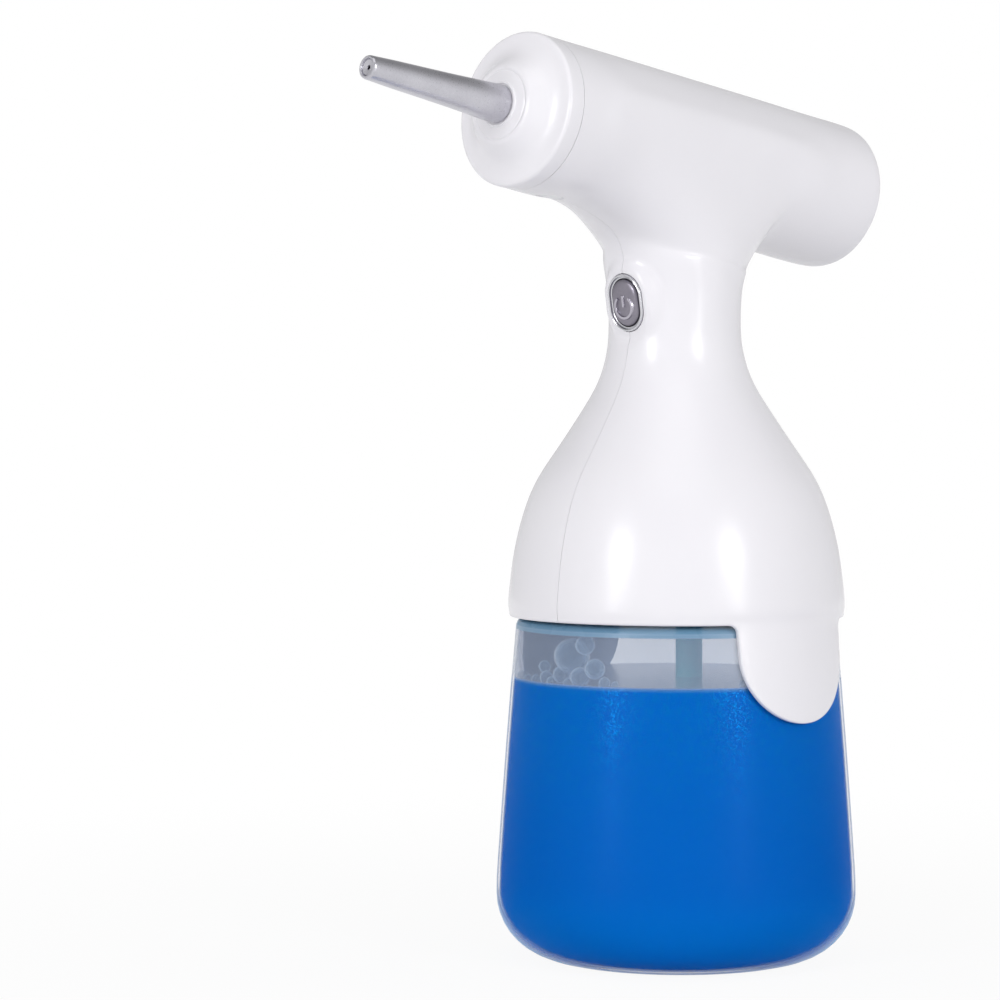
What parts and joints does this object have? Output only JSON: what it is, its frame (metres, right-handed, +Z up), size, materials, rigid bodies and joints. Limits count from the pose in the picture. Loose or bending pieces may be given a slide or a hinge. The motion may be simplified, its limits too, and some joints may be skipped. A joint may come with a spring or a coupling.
{
  "type": "automatic soap dispenser",
  "caption": "Touch-free foam soap dispenser: a T-shaped head with a long tapered nozzle on a screw-on bottle, with gear pump, motor, battery and hand sensor inside.",
  "frame": {"origin": "centre of the bottle's flat base", "axes": "+Z up, the nozzle points to -Y, +X is the dispenser's left side"},
  "size_m": [0.0808, 0.147, 0.2042],
  "materials": {
    "white_shell": "smooth satin white",
    "satin_metal": "satin silver",
    "bright_bezel": "bright",
    "frosted_bottle": "frosted translucent",
    "tube_plastic": "translucent teal",
    "clear_hose": "milky",
    "natural_plastic": "natural",
    "seal_rubber": "matt",
    "white_silicone": "smooth",
    "bright_steel": "bright",
    "circuit_board": "lacquered",
    "black_plastic": "matt",
    "battery_wrap": "printed sleeve, plain",
    "sensor_lens": "smooth",
    "wire_red": "insulated wire",
    "wire_black": "insulated wire"
  },
  "bodies": {
    "housing": {"left_shell": "white_shell", "right_shell": "white_shell", "front_cap": "white_shell", "nozzle": "satin_metal", "nozzle_tip": "satin_metal", "button_bezel": "bright_bezel", "switch_board": "circuit_board", "tact_switch": "black_plastic", "thread_collar": "natural_plastic", "pump_housing": "natural_plastic", "pump_cover": "natural_plastic", "shaft_seal": "seal_rubber", "pump_screw_1": "bright_steel", "pump_screw_2": "bright_steel", "pump_screw_3": "bright_steel", "pump_screw_4": "bright_steel", "idler_pin": "bright_steel", "motor_can": "bright_steel", "motor_end_cap": "black_plastic", "motor_lead_red": "wire_red", "motor_lead_black": "wire_black", "dip_tube": "tube_plastic", "suction_filter": "natural_plastic", "outlet_tube": "clear_hose", "foam_chamber": "natural_plastic", "foam_screen_1": "bright_steel", "foam_screen_2": "bright_steel", "check_valve": "seal_rubber", "chamber_seal": "seal_rubber", "battery": "battery_wrap", "battery_cradle": "black_plastic", "main_board": "circuit_board", "usb_socket": "bright_steel", "sensor_window": "sensor_lens", "sensor_board": "circuit_board", "ir_emitter": "black_plastic", "ir_receiver": "black_plastic"},
    "seal_ring": {"bottle_gasket": "seal_rubber"},
    "bottle_body": {"bottle": "frosted_bottle"},
    "button_body": {"button": "satin_metal"},
    "plunger_body": {"switch_plunger": "black_plastic"},
    "drive_body": {"drive_gear": "natural_plastic", "motor_shaft": "bright_steel"},
    "idler_body": {"idler_gear": "natural_plastic"},
    "plug_body": {"port_plug": "white_silicone"}
  },
  "joints": [
    {"name": "bottle_drop", "type": "slide", "parent": "housing", "child": "seal_ring", "axis": [0, 0, -1], "range_m": [0, 0.0961]},
    {"name": "bottle_turn", "type": "hinge", "parent": "seal_ring", "child": "bottle_body", "pos_m": [0, 0, 0], "axis": [0, 0, -1], "range_deg": [0, 1440]},
    {"name": "button_press", "type": "slide", "parent": "housing", "child": "button_body", "axis": [0, 0.9848, 0.1736], "range_m": [0, 0.0007], "stiffness_N_per_m": 2000},
    {"name": "plunger_press", "type": "slide", "parent": "housing", "child": "plunger_body", "axis": [0, 0.9848, 0.1736], "range_m": [0, 0.0008]},
    {"name": "motor_spin", "type": "hinge", "parent": "housing", "child": "drive_body", "pos_m": [0, 0.0042, 0.1], "axis": [0, 0, 1], "continuous": true},
    {"name": "idler_spin", "type": "hinge", "parent": "housing", "child": "idler_body", "pos_m": [0, -0.0042, 0.1], "axis": [0, 0, 1], "continuous": true},
    {"name": "port_plug_hinge", "type": "hinge", "parent": "housing", "child": "plug_body", "pos_m": [0, 0.05092, 0.16064], "axis": [-1, 0, 0], "range_deg": [0, 100]}
  ],
  "couplings": [
    {"joint": "bottle_drop", "follows": "bottle_turn", "m_per_rad": 0.0038197},
    {"joint": "plunger_press", "follows": "button_press", "ratio": 1},
    {"joint": "idler_spin", "follows": "motor_spin", "ratio": -1}
  ]
}
